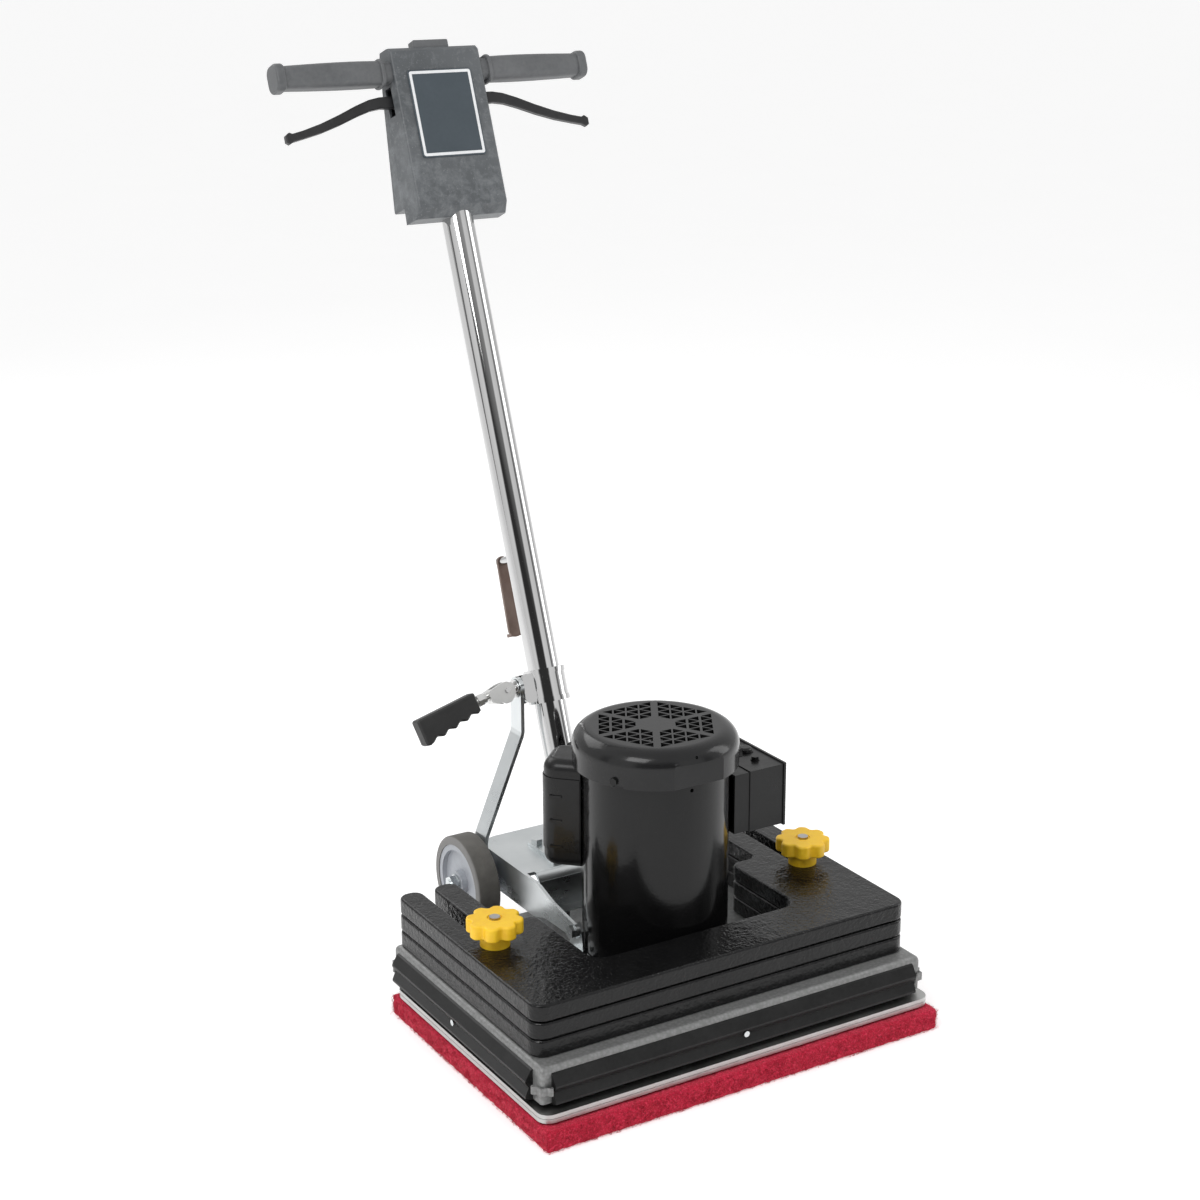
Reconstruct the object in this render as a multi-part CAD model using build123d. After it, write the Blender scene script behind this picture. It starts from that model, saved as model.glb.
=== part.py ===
from build123d import *
import math
import os

# Orbital floor machine. Millimetres, +Z up, -Y is the machine's front.
# The origin is on the floor under the motor's axis.

# ---- driving dimensions ------------------------------------------------------
pad_length, pad_width, pad_height = 508.0, 356.0, 25.0
pad_centre_y = -17.0
pad_top = pad_height

deck_half_x, deck_front, deck_back = 246.0, -170.0, 167.0
deck_bottom, deck_top, deck_wall = 42.0, 82.0, 3.0
deck_roll = 6.0

weight_half_x, weight_front, weight_back = 241.0, -151.0, 167.0
weight_step, weight_gap, weight_rim = 20.0, 0.4, 3.0
weight_count = 3
weight_top = deck_top + weight_step * weight_count
slot_x, slot_width = 205.0, 15.0
cutout_half_x, cutout_front, cutout_shoulder = 132.0, -88.0, 37.0
cutout_rear_half_x = 168.0

motor_radius, motor_wall = 82.0, 3.0
motor_bottom, shell_top = 94.0, 316.0
cover_radius, cover_bottom, cover_top = 92.5, 313.0, 355.0
facet_angle, facet_depth = -90.0, 5.6
grille_shift, grille_row, grille_bar, grille_web, grille_angle = 6.1, 14.45, 2.8, 1.9, -31.0
shaft_radius = 9.5
crank_offset = 3.2
crank_radius = 12.5

arm_half_x, sheet = 89.0, 4.0
float_y, float_z = 31.0, 115.0
plate_top, plate_front, plate_back = 141.4, 130.0, 258.0
lip_bottom = 94.0
axle_y, axle_z, axle_radius = 242.0, 99.7, 6.35
wheel_radius, wheel_width, wheel_inner_x, hub_radius = 57.0, 29.0, 96.0, 44.0

handle_tilt = 20.88
pivot_y, pivot_z = 177.2, 163.4
tube_radius = 19.05
tube_start, tube_end = 22.0, 800.0
collar_rise = 176.2
clamp_rise, clamp_x = collar_rise + 3.0, -57.0
collar_radius, collar_length = 24.0, 40.0
hook_rise, hook_standoff, hook_length = 332.0, 52.0, 84.0

box_rise = 752.6
box_half_x, box_draft = 62.0, 3.0
grip_rise, grip_depth, grip_inner_x = 168.5, 8.0, 69.0
lever_pivot_x, lever_pivot_rise, lever_depth = 52.0, 134.0, 4.0

fit = 0.07          # radial clearance of running fits

lean = math.radians(handle_tilt)
up_tube = Vector(0, math.sin(lean), math.cos(lean))
# HANDLE: local x to the right, local y up the tube, local z out of the tube's front
HANDLE = Plane(origin=(0, pivot_y, pivot_z), x_dir=(1, 0, 0),
               z_dir=(0, -math.cos(lean), math.sin(lean)))
BOX = Plane(origin=HANDLE.from_local_coords((0, box_rise, 0)), x_dir=(1, 0, 0),
            z_dir=HANDLE.z_dir)
SIDES = (-1, 1)


# ---- helpers -----------------------------------------------------------------
def rod(radius, start, end, x=0.0, y=0.0):
    """Upright cylinder from height start to height end."""
    return Pos(x, y, (start + end) / 2) * Cylinder(radius, end - start)


def tube(outer, inner, start, end, x=0.0, y=0.0):
    return rod(outer, start, end, x, y) - rod(inner, start - 1, end + 1, x, y)


def rod_x(radius, start, end, y=0.0, z=0.0):
    """Cylinder along X."""
    return Pos((start + end) / 2, y, z) * Rot(0, 90, 0) * Cylinder(radius, abs(end - start))


def block(x_range, y_range, z_range):
    """Box from its lowest to its highest corner."""
    sides = [b - a for a, b in (x_range, y_range, z_range)]
    middle = [(a + b) / 2 for a, b in (x_range, y_range, z_range)]
    return Pos(*middle) * Box(*sides)


def slab(points, start, end):
    """Polygon in XY, extruded from height start to height end."""
    return Pos(0, 0, start) * extrude(make_face(Polyline(*points, close=True)), end - start)


def side_sheet(points, x_start, thickness):
    """Polygon of (y, z) points, extruded along +X from x_start."""
    plane = Plane(origin=(x_start, 0, 0), x_dir=(0, 1, 0), z_dir=(1, 0, 0))
    return extrude(plane * make_face(Polyline(*points, close=True)), thickness)


def hexagon(across_flats, start, end, x=0.0, y=0.0):
    """Upright hexagonal prism."""
    outline = RegularPolygon(across_flats / 2, 6, major_radius=False)
    return Pos(x, y, start) * extrude(outline, end - start)


def turned(solid, degrees):
    """Rotate a solid about the motor's axis."""
    return Rot(0, 0, degrees) * solid


def mirrored(solid):
    return mirror(solid, about=Plane.YZ)


def group(solids):
    """Separate solids in one node."""
    return Compound(children=[s for item in solids for s in item.solids()])


def drilled(solid, fasteners):
    """Take the room of separate fasteners out of a solid."""
    for fastener in fasteners.solids():
        solid = solid - fastener
    return solid


# ---- scrub pad and driver ----------------------------------------------------
def scrub_pad():
    return block((-pad_length / 2, pad_length / 2),
                 (pad_centre_y - pad_width / 2, pad_centre_y + pad_width / 2), (0, pad_top))


def rounded_plate(half_x, front, back, start, end, radius):
    plate = block((-half_x, half_x), (front, back), (start, end))
    return fillet(plate.edges().filter_by(Axis.Z), radius)


driver_levels = (25.0, 27.0, 31.5, 32.0, 36.5)


def grip_face():
    return rounded_plate(249, -180, 152, driver_levels[0], driver_levels[1], 12)


def pad_plate():
    return rounded_plate(252, -184, 155, driver_levels[1], driver_levels[2], 14)


def driver_plate():
    plate = rounded_plate(252, -184, 155, driver_levels[3], driver_levels[4], 14)
    gasket = rounded_plate(249, -181, 152, driver_levels[2], driver_levels[3], 12)
    bearing_seat = tube(40, 32, driver_levels[4], 58, crank_offset)
    return plate + gasket + bearing_seat


def driver_bearing():
    return tube(32, crank_radius + fit, driver_levels[4], 56, crank_offset)


# ---- deck --------------------------------------------------------------------
def deck_housing():
    shell = block((-deck_half_x, deck_half_x), (deck_front, deck_back), (deck_bottom, deck_top))
    shell = fillet(shell.edges().filter_by(Axis.Z), 4)
    shell = fillet(shell.faces().sort_by(Axis.Z)[-1].edges(), deck_roll)
    hollow = block((-deck_half_x + deck_wall, deck_half_x - deck_wall),
                   (deck_front + deck_wall, deck_back - deck_wall),
                   (deck_bottom - 1, deck_top - deck_wall))
    return shell - hollow - rod(37, 60, 90)


side_middle = (deck_front + deck_back) / 2 + 3      # the side bumpers' middle along Y
rivet_height = 57.0
# The bumper's outline: (distance out from the wall, height)
bumper_outline = [(0, 76), (2.5, 75), (9, 64), (9, 62), (5, 55.5), (9, 46), (9, 43.5), (0, 40)]


def bumper(length):
    """Extrusion along X, its back on the plane Y = 0, its lips towards -Y."""
    plane = Plane(origin=(-length / 2, 0, 0), x_dir=(0, -1, 0), z_dir=(-1, 0, 0))
    points = [(out, height) for out, height in bumper_outline]
    face = make_face(Polyline(*points, close=True))
    return extrude(plane * face, -length)


def bumpers_front_rear():
    strip = bumper(2 * 234)
    strips = [Pos(0, deck_front, 0) * strip, Pos(0, deck_back, 0) * Rot(0, 0, 180) * strip]
    return group([drilled(one, bumper_rivets()) for one in strips])


def bumpers_sides():
    strip = bumper(308)
    strips = [Pos(-deck_half_x, side_middle, 0) * Rot(0, 0, -90) * strip,
              Pos(deck_half_x, side_middle, 0) * Rot(0, 0, 90) * strip]
    return group([drilled(one, bumper_rivets()) for one in strips])


def bumper_rivets():
    """One rivet in the middle of each bumper strip."""
    head = Pos(0, -7.8, rivet_height) * Rot(90, 0, 0) * Cone(2.6, 3.4, 2.4)
    stem = Pos(0, -3.8, rivet_height) * Rot(90, 0, 0) * Cylinder(1.8, 7.6)
    rivet = head + stem
    places = [Pos(3, deck_front, 0), Pos(3, deck_back, 0) * Rot(0, 0, 180),
              Pos(-deck_half_x, side_middle + 8, 0) * Rot(0, 0, -90),
              Pos(deck_half_x, side_middle + 8, 0) * Rot(0, 0, 90)]
    return group([place * rivet for place in places])


def corner_clip():
    """Spring clip round one corner, with its corner at the origin and arms along +X and +Y."""
    path = [(11.5, -4), (10.5, -6.6), (8, -6.6), (5.5, -2.6), (-2, -2), (-2.6, 5.5), (-6.6, 8),
            (-6.6, 10.5), (-4, 11.5)]
    inner = [(-3.4, 9.6), (-4.8, 9), (-1.2, 4.6), (0, 4), (0, 0), (4, 0), (4.6, -1.2), (9, -4.8),
             (9.6, -3.4)]
    return slab(path + inner, 53, 62)


def bumper_clips():
    clip = corner_clip()
    return group([Pos(-deck_half_x, deck_front, 0) * clip,
                  Pos(deck_half_x, deck_front, 0) * Rot(0, 0, 90) * clip,
                  Pos(deck_half_x, deck_back, 0) * Rot(0, 0, 180) * clip,
                  Pos(-deck_half_x, deck_back, 0) * Rot(0, 0, 270) * clip])


def isolators():
    """Rubber blocks: four under the deck, two on it that the carriage's front lip rests on."""
    under = deck_top - deck_wall
    blocks = [rod(15, driver_levels[4] + 0.5, under, x, y)
              for x in (-205, 205) for y in (-135, 120)]
    rests = [rod(9, deck_top, lip_bottom, x, 122) for x in (-50, 50)]
    return group(blocks + rests)


def weight_studs():
    return group([rod(6, deck_top, weight_top + 33, side * slot_x) for side in SIDES])


# ---- weights and their knobs ---------------------------------------------------
def weight_outline():
    """One U-shaped plate, open to the back, from height 0."""
    thickness = weight_step - weight_gap
    plate = block((-weight_half_x, weight_half_x), (weight_front, weight_back), (0, thickness))
    front_edges = plate.edges().filter_by(Axis.Z).sort_by(Axis.Y)[:2]
    plate = fillet(front_edges, 17)
    deep = weight_back + 20
    cutout = block((-cutout_half_x, cutout_half_x), (cutout_front, deep), (-1, thickness + 1))
    cutout = fillet(cutout.edges().filter_by(Axis.Z).sort_by(Axis.Y)[:2], 18)
    rear = block((-cutout_rear_half_x, cutout_rear_half_x), (cutout_shoulder + 4, deep),
                 (-1, thickness + 1))
    rear = fillet(rear.edges().filter_by(Axis.Z).sort_by(Axis.Y)[:2], 10)
    plate = plate - (cutout + rear)
    for side in SIDES:
        centre = side * slot_x
        half = slot_width / 2
        plate -= block((centre - half, centre + half), (0, deep), (-1, thickness + 1))
        plate -= rod(half, -1, thickness + 1, centre)
    return round_prongs(plate)


def round_prongs(plate):
    """Round the corners of the four prong ends and the cut-out's shoulders."""
    edges = plate.edges().filter_by(Axis.Z)
    outer = [e for e in edges if e.center().Y > weight_back - 0.5]
    plate = fillet(outer, 12.5)
    shoulders = [e for e in plate.edges().filter_by(Axis.Z)
                 if abs(abs(e.center().X) - cutout_half_x) < 0.5
                 and abs(e.center().Y - cutout_shoulder - 4) < 0.5]
    plate = fillet(shoulders, 9)
    rims = plate.faces().sort_by(Axis.Z)[0].edges() + plate.faces().sort_by(Axis.Z)[-1].edges()
    return fillet(rims, weight_rim)


def weight(index):
    plate = weight_outline()
    plate = Pos(0, 0, deck_top + weight_step * index) * plate
    if index == weight_count - 1:
        plate = Pos(0, 0, weight_gap) * plate
    return plate


def star_outline(steps=96):
    """Smooth outline with eight broad lobes and narrower hollows."""
    points = []
    for step in range(steps):
        angle = 2 * math.pi * step / steps
        hollow = (0.5 - 0.5 * math.cos(8 * angle)) ** 2
        reach = 31.2 - 5.2 * hollow
        points.append((reach * math.cos(angle), reach * math.sin(angle)))
    return make_face(Spline(*points, periodic=True))


def star_knob(side):
    """Eight-lobed clamping knob on a weight stud."""
    hub_top, top = weight_top + 15, weight_top + 31.5
    knob = Pos(0, 0, hub_top) * extrude(star_outline(), top - hub_top)
    rims = [e for face in (knob.faces().sort_by(Axis.Z)[0], knob.faces().sort_by(Axis.Z)[-1])
            for e in face.edges()]
    knob = fillet(rims, 2.6) + rod(16.5, weight_top, hub_top)
    knob -= rod(6 + fit, weight_top - 1, top + 2) + rod(8.5, top - 1.2, top + 2)
    return Pos(side * slot_x, 0, 0) * Rot(0, 0, 10) * knob


# ---- motor -------------------------------------------------------------------
def end_bell_lower():
    bell = rod(85, deck_top, 88) + rod(motor_radius - motor_wall, 88, 104)
    bell += rod(motor_radius + 1, 88, motor_bottom)
    return bell - rod(26, 84, 106) - rod(18, 80, 86)


def motor_shell():
    shell = tube(motor_radius, motor_radius - motor_wall, motor_bottom, shell_top)
    for angle, radius, z in ((0, 8, 255), (135, 6, 250), (facet_angle - 4, 2.2, 306)):
        shell -= turned(rod_x(radius, 60, 100, 0, z), angle)
    return shell


def end_bell_upper():
    bell = rod(motor_radius - motor_wall, 298, 307) + rod(28, 286, 298)
    return bell - rod(20, 284, 300) - rod(shaft_radius + 3, 290, 310)


def stator():
    ring = tube(motor_radius - motor_wall, 46, 130, 240)
    windings = tube(70, 52, 112, 130) + tube(70, 52, 240, 262)
    return ring + windings


def motor_bearings():
    lower = tube(26, shaft_radius + fit, 86, 101)
    upper = tube(20, shaft_radius + fit, 285, 299.5)
    return group([lower, upper])


def triangle(x, y, height, turn):
    """Equilateral triangle centred at (x, y), one corner in the direction turn."""
    reach = height * 2 / 3
    corners = [(x + reach * math.cos(math.radians(turn + 120 * corner)),
                y + reach * math.sin(math.radians(turn + 120 * corner)))
               for corner in range(3)]
    return make_face(Polyline(*corners, close=True))


def grille_openings():
    """Triangular holes in six sectors of three rows, round a plain hexagonal middle."""
    hole_height = grille_row - grille_bar / 2 - grille_web
    holes = []
    for row in (1, 2, 3):
        inner = grille_shift + row * grille_row
        for step in range(-row, row + 1):
            y = step * grille_row / math.sqrt(3)
            if (step + row) % 2:
                hole = triangle(inner + grille_bar / 2 + hole_height / 3, y, hole_height, 0)
            else:
                outer = inner + grille_row
                hole = triangle(outer - grille_bar / 2 - hole_height / 3, y, hole_height, 180)
            holes += [Rot(0, 0, 60 * sector + grille_angle) * hole for sector in range(6)]
    return holes


def fan_cover():
    cap = rod(cover_radius, cover_bottom, cover_top)
    cap = fillet(cap.edges().sort_by(Axis.Z)[-1], 20)
    hollow = rod(cover_radius - 2.5, cover_bottom - 1, cover_top - 2.5)
    hollow = fillet(hollow.edges().sort_by(Axis.Z)[-1], 18)
    cap = cap - hollow
    cap += tube(cover_radius - 1, motor_radius, cover_bottom, cover_bottom + 3)
    inside = cover_radius - facet_depth
    flat = block((inside, 100), (-40, 40), (cover_bottom - 1, 340))
    backing = block((inside - 2.5, inside), (-31, 31), (cover_bottom, 343))
    backing &= rod(cover_radius - 1, cover_bottom, 343)
    cap = cap + turned(backing, facet_angle) - turned(flat, facet_angle)
    cap -= turned(rod_x(1.6, 80, 95, 0, 346), facet_angle - 3)
    cap -= turned(block((88, 96), (-6, 6), (cover_bottom - 1, cover_bottom + 2.6)), -148)
    holes = extrude(Pos(0, 0, cover_top - 4) * Sketch(children=grille_openings()), 8)
    return drilled(cap - holes, motor_screws())


def cap_screw(length=6.0):
    """Small screw along -Z with its head above the origin."""
    head = hexagon(8, 0, 3.6) + Pos(0, 0, 0.4) * Cylinder(5, 0.8)
    return head + rod(2, -length, 0)


def motor_screws():
    """Screws of the fan cover and of the conduit box."""
    screws = []
    for angle in (-151, -31, 89):
        place = Rot(0, 0, angle) * Pos(cover_radius - 0.4, 0, 320) * Rot(0, 90, 0)
        screws.append(place * cap_screw(5))
    for y in (-34, 34):
        for z in (232, 284):
            screws.append(Pos(144, y, z) * Rot(0, 90, 0) * cap_screw(4))
    return group(screws)


def capacitor_frame(shape):
    """Place a shape, built on the +X side, on the motor's left rear."""
    return turned(shape, 135)


def capacitor_cover():
    body = block((78, 124), (-31, 31), (186, 312.5))
    long_edges = body.edges().filter_by(Axis.Z).sort_by(Axis.X)[-2:]
    body = fillet(long_edges, 18)
    ends = body.edges().filter_by(GeomType.CIRCLE) + body.edges().filter_by(Axis.Y)
    body = fillet([e for e in ends if e.center().X > 100], 12)
    hollow = block((70, 121), (-28, 28), (189, 309.5))
    hollow = fillet(hollow.edges().filter_by(Axis.Z).sort_by(Axis.X)[-2:], 15)
    hollow = fillet([e for e in hollow.edges() if e.center().X > 100
                     and not abs(e.center().Z - 250) < 5], 9)
    skirt = block((79, 125.2), (-32.2, 32.2), (207, 293))
    skirt = fillet(skirt.edges().filter_by(Axis.Z).sort_by(Axis.X)[-2:], 19.2)
    shell = body + skirt - hollow - rod(motor_radius, 180, 320)
    for z in (212, 243, 272):
        for side in SIDES:
            shell += Pos(106, side * 32.2, z) * Box(14, 2.4, 2.6)
    return capacitor_frame(shell)


def capacitor():
    can = rod(16, 196, 292, 103) + rod(3, 292, 299, 97) + rod(3, 292, 299, 109)
    return capacitor_frame(can)


def conduit_box():
    body = block((76, 96), (-45, 45), (223, 293))
    return body - rod(motor_radius, 215, 300) - block((70, 97), (-42, 42), (226, 290))


def conduit_cover():
    body = block((96, 144), (-46, 46), (222, 294))
    body = fillet(body.edges().filter_by(Axis.Z).sort_by(Axis.X)[-2:], 3)
    body += block((141.2, 144), (-47.5, 47.5), (220.5, 295.5))
    return drilled(body - block((95, 141), (-43, 43), (225, 291)), motor_screws())


def conduit_fittings():
    """Domed plug and a hexagon screw on top of the conduit cover."""
    plug = rod(8.5, 294, 299, 127, 10)
    plug = fillet(plug.edges().sort_by(Axis.Z)[-1], 3.5) + rod(10, 294, 295.2, 127, 10)
    screw = hexagon(8, 294, 298.5, 121, -19) + rod(5.2, 294, 295, 121, -19)
    return group([plug, screw])


def motor_bolts():
    """Four face-mount bolts from under the deck, on a 149.2 mm circle."""
    bolts = []
    for step in range(4):
        angle = math.radians(45 + 90 * step)
        x, y = 74.6 * math.cos(angle), 74.6 * math.sin(angle)
        bolts.append(hexagon(14.3, 72, 79, x, y))
    return group(bolts)


# ---- rotor ---------------------------------------------------------------------
def rotor_shaft():
    return rod(shaft_radius, 62, 334)


def eccentric_hub():
    """Hub on the shaft's end: crank pin below, counterweight on the side away from it."""
    disc = rod(33, 60, 74) - block((8, 40), (-40, 40), (59, 75)) + rod(18, 60, 74)
    crank = rod(crank_radius, driver_levels[4] + 0.5, 60, crank_offset)
    return disc + crank - rod(shaft_radius, 62, 75)


def rotor_core():
    return tube(44, shaft_radius, 135, 235)


def cooling_fan():
    fan = rod(14, 318, 334) + rod(66, 318, 320)
    for step in range(8):
        blade = Pos(38, 0, 327) * Box(52, 2, 14)
        fan += turned(blade, 45 * step + 11)
    return fan - rod(shaft_radius, 310, 340)


# ---- wheel carriage ------------------------------------------------------------
def pivot_brackets():
    """Angle brackets on the deck that carry the arms' pivot bolts."""
    upright = [(16, deck_top), (50, deck_top), (44, 116), (33, 123), (22, 116)]
    brackets = []
    for side in SIDES:
        plate = side_sheet(upright, 78.6 if side > 0 else -83.6, 5)
        foot = block((83.6, 108), (16, 50), (deck_top, deck_top + 5))
        if side < 0:
            foot = mirrored(foot)
        hole = rod_x(5.05, side * 70, side * 90, float_y, float_z)
        bolt = hexagon(12, deck_top + 5, deck_top + 9, side * 99, 33)
        brackets.append(plate + foot + bolt - hole - rod(motor_radius + 1.5, 89, 130)
                        - rod(85.5, 80, 89.5))
    return group(brackets)


def pivot_bolts():
    bolts = []
    for side in SIDES:
        shank = rod_x(5, side * 83.0, side * 89.5, float_y, float_z)
        head = Pos(side * 89.5, float_y, float_z) * Rot(0, 90 * side, 0) * hexagon(14, 0, 5)
        washer = rod_x(8, side * 83.6, side * 84.6, float_y, float_z)
        bolts.append(shank + head + washer)
    return group(bolts)


# Side outline of the arms as (y, z)
arm_outline = [(31, 106), (60, 106), (94, 105), (120, 97), (203, 97), (222, 84), (242, 81),
               (256, 88), (260, 99), (plate_back, 112), (plate_back - 4, plate_top - 2),
               (plate_back - 26, plate_top), (120, plate_top), (108, 140), (78, 131), (31, 124)]


def carriage_frame():
    """Folded sheet with two arms that straddle the motor."""
    frame = block((-arm_half_x, arm_half_x), (plate_front + 12, plate_back),
                  (plate_top - sheet, plate_top))
    back_corners = frame.edges().filter_by(Axis.Z).sort_by(Axis.Y)[-2:]
    frame = fillet(back_corners, 26)
    for side in SIDES:
        arm = side_sheet(arm_outline, arm_half_x - sheet, sheet)
        tip = rod_x(9, arm_half_x - sheet, arm_half_x, float_y, float_z)
        arm = arm + tip
        frame += arm if side > 0 else mirrored(arm)
    frame += block((-75, 75), (plate_front, plate_front + sheet), (96, plate_top - 9))
    bend = Pos(0, plate_front + 13, plate_top - 13) * Rot(0, 90, 0) * Cylinder(13, 150)
    bend -= Pos(0, plate_front + 13, plate_top - 13) * Rot(0, 90, 0) * Cylinder(9, 152)
    bend &= block((-75, 75), (plate_front, plate_front + 13), (plate_top - 13, plate_top))
    frame += bend
    frame += block((-75, 75), (plate_front - 14, plate_front + sheet), (lip_bottom, 96))
    for side in SIDES:
        frame -= rod(5.5, plate_top - 30, plate_top + 4, side * (arm_half_x - 9), 124)
        frame -= rod_x(5 + fit, side * 80, side * 95, float_y, float_z)
        frame -= rod_x(axle_radius, side * 80, side * 95, axle_y, axle_z)
    return frame


def wheel_axle():
    reach = wheel_inner_x + wheel_width + 12
    axle = rod_x(axle_radius, -reach, reach, axle_y, axle_z)
    for side in SIDES:
        inner = rod_x(8, side * arm_half_x, side * (wheel_inner_x - 0.4), axle_y, axle_z)
        axle += inner
    return axle


def axle_nuts():
    nuts = []
    for side in SIDES:
        start = wheel_inner_x + wheel_width + 0.8
        nut = Pos(side * start, axle_y, axle_z) * Rot(0, 90 * side, 0) \
            * (tube(11, axle_radius, 0, 1.6) + hexagon(19, 1.6, 9.5))
        nuts.append(nut - rod_x(axle_radius, -200, 200, axle_y, axle_z))
    return group(nuts)


def handle_yoke():
    """Clevis on the carriage that holds the handle's pivot bolt."""
    yoke = block((-45, 45), (150, 212), (plate_top, plate_top + 5))
    ear = [(155, plate_top + 5), (200, plate_top + 5), (190, 172), (pivot_y, 180), (164, 172)]
    for side in SIDES:
        cheek = side_sheet(ear, 21 if side > 0 else -26, 5)
        yoke += cheek
    return yoke - rod_x(6, -40, 40, pivot_y, pivot_z)


def carriage_bolts():
    """Four bolts of the yoke, and the pivot bolt through it and the handle's foot."""
    bolts = [hexagon(13, plate_top + 5, plate_top + 11, x, y) for x in (-37, 37)
             for y in (159, 203)]
    pin = rod_x(6, -26, 26, pivot_y, pivot_z)
    for side in SIDES:
        pin += Pos(side * 26, pivot_y, pivot_z) * Rot(0, 90 * side, 0) * hexagon(18, 0, 7)
    return group(bolts + [pin])


def wheel_hub(side):
    start, end = wheel_inner_x, wheel_inner_x + wheel_width
    hub = rod_x(hub_radius, start + 2, end - 2)
    for face in (start + 1, end - 3):
        hub += rod_x(hub_radius + 3, face, face + 2)
    for face in (start, end - 7):
        hub -= rod_x(hub_radius - 4, face, face + 7)
    hub += rod_x(15, start, end + 0.4)
    hub -= rod_x(axle_radius + fit, start - 2, end + 2)
    hub = Pos(0, axle_y, axle_z) * hub
    return hub if side > 0 else mirrored(hub)


def wheel_tyre(side):
    start, end = wheel_inner_x, wheel_inner_x + wheel_width
    tyre = rod_x(wheel_radius, start, end)
    tyre = fillet(tyre.edges().filter_by(GeomType.CIRCLE), 3)
    tyre -= rod_x(hub_radius, start - 1, end + 1)
    for face, cut in ((start - 1, 4), (end - 3, 4)):
        tyre -= rod_x(hub_radius + 3, face, face + cut)
    tyre = Pos(0, axle_y, axle_z) * tyre
    return tyre if side > 0 else mirrored(tyre)


# ---- handle --------------------------------------------------------------------
def handle_tube():
    """Chromed tube with the pivot foot welded in its lower end."""
    column = Pos(0, (tube_start + tube_end) / 2, 0) * Rot(90, 0, 0) \
        * Cylinder(tube_radius, tube_end - tube_start)
    bore = Pos(0, (tube_start + 30 + tube_end) / 2 + 1, 0) * Rot(90, 0, 0) \
        * Cylinder(tube_radius - 1.6, tube_end - tube_start - 28)
    foot = block((-20.4, 20.4), (0, tube_start), (-13, 13)) + rod_x(13, -20.4, 20.4)
    post = rod(5, -hook_standoff + 0.4, -tube_radius + 1, 0, hook_rise)
    post += rod(3, -hook_standoff - 5, -hook_standoff + 1, 0, hook_rise)
    post += rod(6, -hook_standoff - 7, -hook_standoff - 4.4, 0, hook_rise)
    local = column - bore + foot + post - rod_x(6 + fit, -30, 30)
    return HANDLE.location * local


def cord_hook():
    """Flat swivelling hook, hanging down behind the tube from its post."""
    top, foot = 6.5, 8.7
    outline = Polygon((-top, 0), (-foot, -hook_length), (foot, -hook_length), (top, 0), align=None)
    outline += Circle(top) + Pos(0, -hook_length) * Circle(foot)
    blade = Pos(0, hook_rise, -hook_standoff - 4) * extrude(outline, 4)
    lip = block((-7, 7), (hook_rise - hook_length - 8, hook_rise - hook_length - 4),
                (-hook_standoff - 12, -hook_standoff))
    return HANDLE.location * (blade + lip - rod(3 + fit, -90, 0, 0, hook_rise))


def collar():
    """Split clamp on the tube, with its draw bolt along X."""
    half = collar_length / 2
    ring = Cylinder(collar_radius, collar_length) \
        + Pos(0, 0, half - 3) * Cylinder(collar_radius + 1.2, 6) \
        + Pos(0, 0, -half + 3) * Cylinder(collar_radius + 1.2, 6)
    ring = Pos(0, collar_rise, 0) * Rot(90, 0, 0) * ring
    lug = block((-36.5, -16), (collar_rise - 17, collar_rise + 17), (-11, 11))
    lug = fillet(lug.edges().filter_by(Axis.Z).sort_by(Axis.X)[:2], 6)
    lug -= block((-37, -15), (collar_rise - 18, collar_rise + 18), (-6, 6))
    boss = rod_x(9, -36.5, -20, clamp_rise, 0)
    bolt = rod_x(4, -51, -20, clamp_rise, 0)
    washer = rod_x(11, -44, -42.6, clamp_rise, 0)
    eye = Pos(clamp_x, clamp_rise, 0) * Cylinder(8, 8)
    pin = Pos(clamp_x, clamp_rise, 0) * Cylinder(3, 22)
    local = ring + lug + boss
    local -= Pos(0, collar_rise, 0) * Rot(90, 0, 0) * Cylinder(tube_radius + fit, 60)
    local += bolt + washer + eye + pin
    return HANDLE.location * local


lever_drop, stem_offset = 13.8, 3.0


def lever_place():
    return HANDLE.location * Pos(clamp_x, clamp_rise, 0) * Rot(0, 0, lever_drop)


cheek_outline = [(-24, 8), (-14, 9.5), (-5, 10.6), (3, 10.2), (9, 6), (10.8, 0), (9.5, -5),
                 (5, -11), (-1, -14.5), (-7, -14), (-12, -10), (-17, -10), (-24, -5)]


def lock_lever():
    """Two cam cheeks, rod and nut; the lever points to the left."""
    fork = Pos(0, 0, -9) * extrude(make_face(Polyline(*cheek_outline, close=True)), 18)
    fork = fillet(fork.edges().filter_by(Axis.Z), 1.5)
    fork -= block((-17, 20), (-20, 20), (-4.4, 4.4)) + Cylinder(3 + fit, 30)
    stem = rod_x(4, -48, -22, stem_offset)
    nut = Pos(-38, stem_offset, 0) * Rot(0, 90, 0) * hexagon(13, 0, 7)
    ring = rod_x(6.5, -31, -27, stem_offset)
    return lever_place() * (fork + stem + nut + ring)


def grooved_edge(start, groove, depth, grooves=4, steps=6):
    """Points along the grip's lower edge, which drops towards its free end."""
    points = []
    for step in range(grooves * steps + 1):
        along = step / steps
        x = start - groove * along
        points.append((x, -9.2 - 1.75 * along + depth * math.sin(math.pi * along) ** 2))
    return points


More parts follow.
